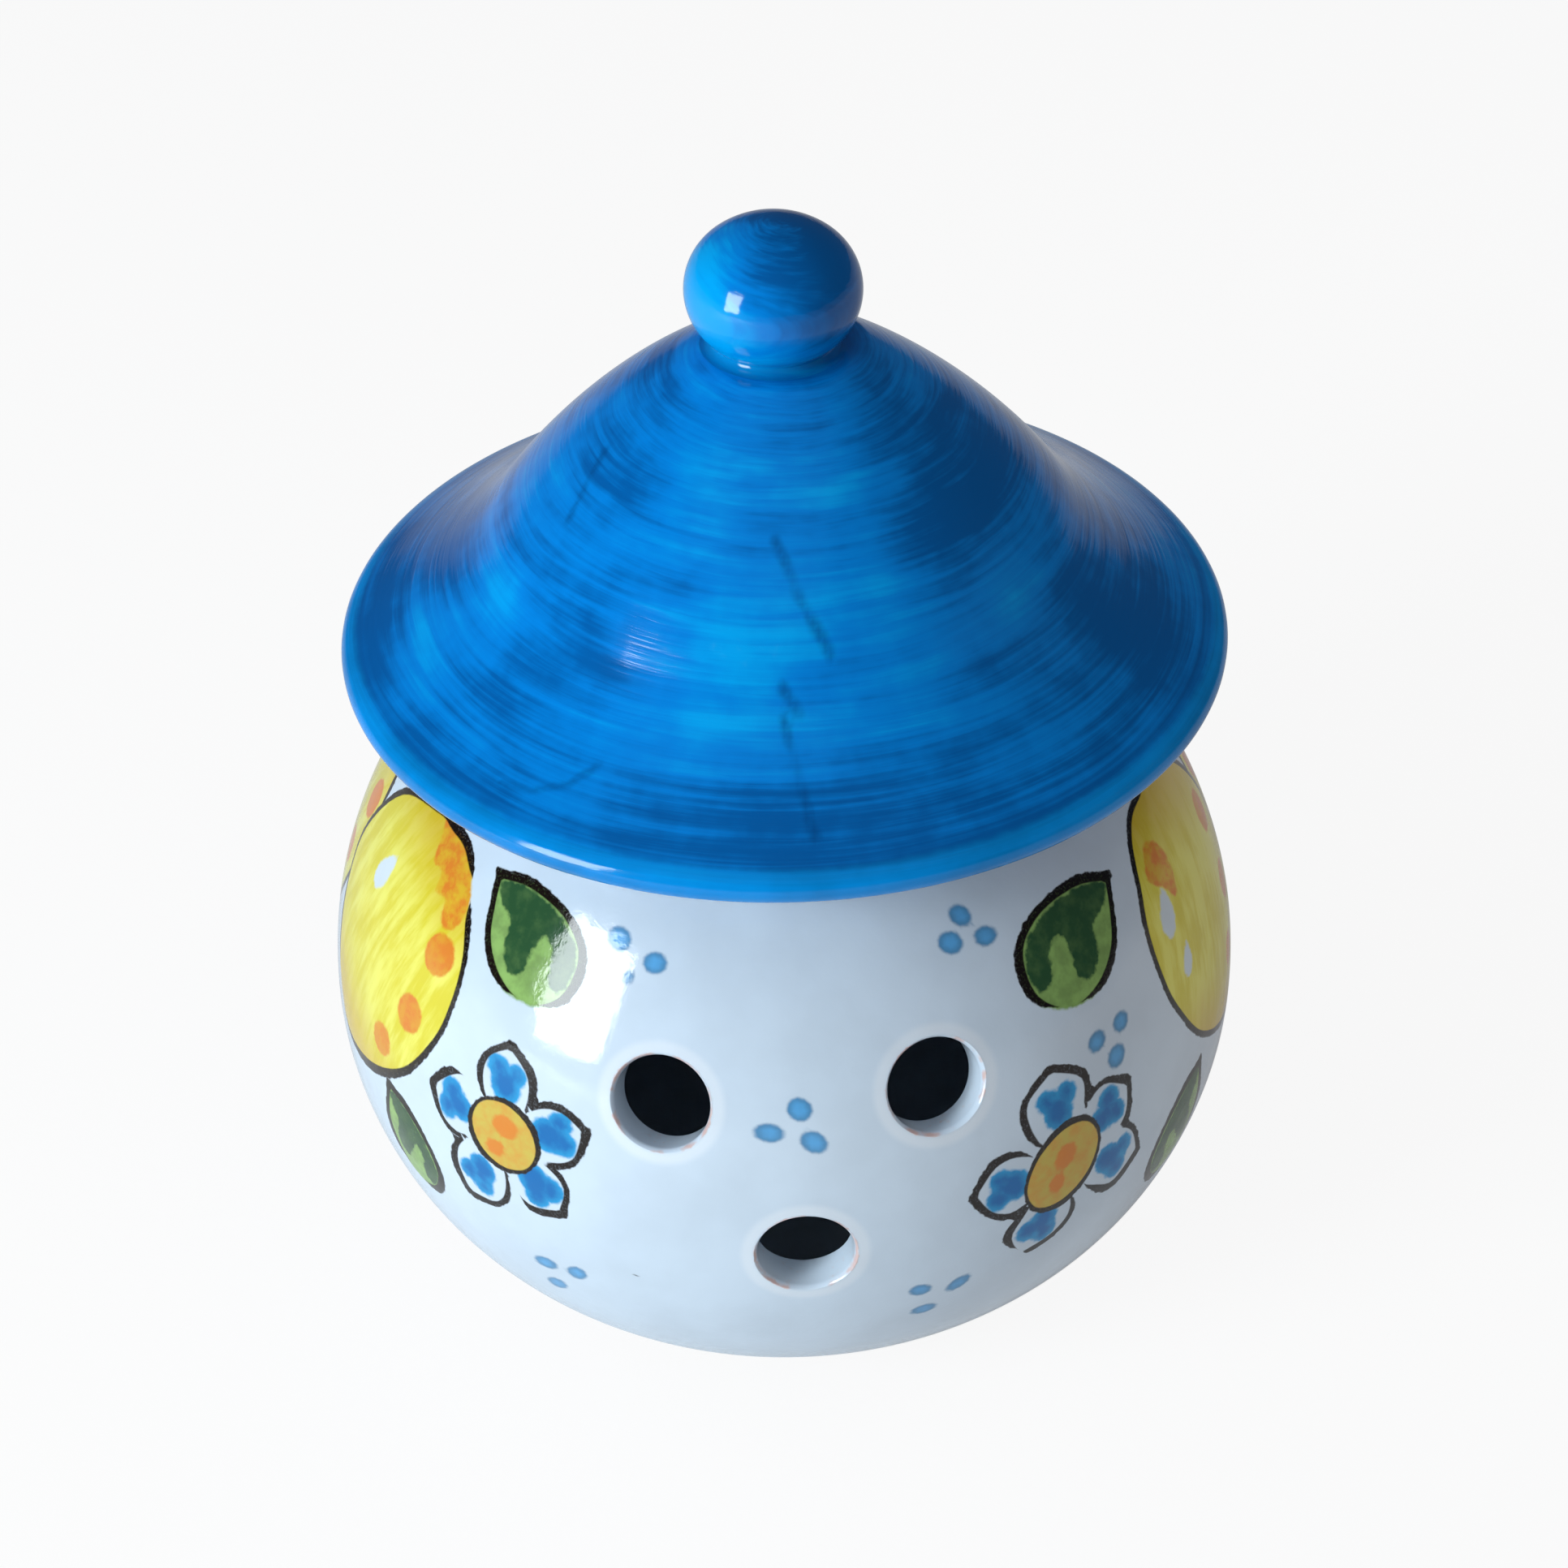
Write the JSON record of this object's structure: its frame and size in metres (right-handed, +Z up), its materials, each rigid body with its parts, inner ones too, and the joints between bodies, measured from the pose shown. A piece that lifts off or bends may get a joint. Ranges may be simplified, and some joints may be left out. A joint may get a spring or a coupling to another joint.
{
  "type": "garlic keeper",
  "caption": "Round glazed earthenware pot with vent holes in its front, closed by a lift-off hat-shaped lid that has a locating ring and a ball knob.",
  "frame": {"origin": "centre of the foot, on the table", "axes": "+Z up along the pot's axis, -Y towards the front with the vent holes, +X to the viewer's right"},
  "size_m": [0.15, 0.1498, 0.1893],
  "materials": {
    "white_glaze": "glossy white tin glaze with brushed motifs",
    "blue_glaze": "glossy brushed turquoise blue glaze"
  },
  "bodies": {
    "pot": {"pot": "white_glaze"},
    "lid": {"lid_hat": "blue_glaze", "lid_locating_ring": "white_glaze", "lid_knob": "blue_glaze"}
  },
  "joints": [
    {"name": "lid_lift", "type": "slide", "parent": "pot", "child": "lid", "axis": [0, 0, 1], "range_m": [0, 0.12]}
  ]
}
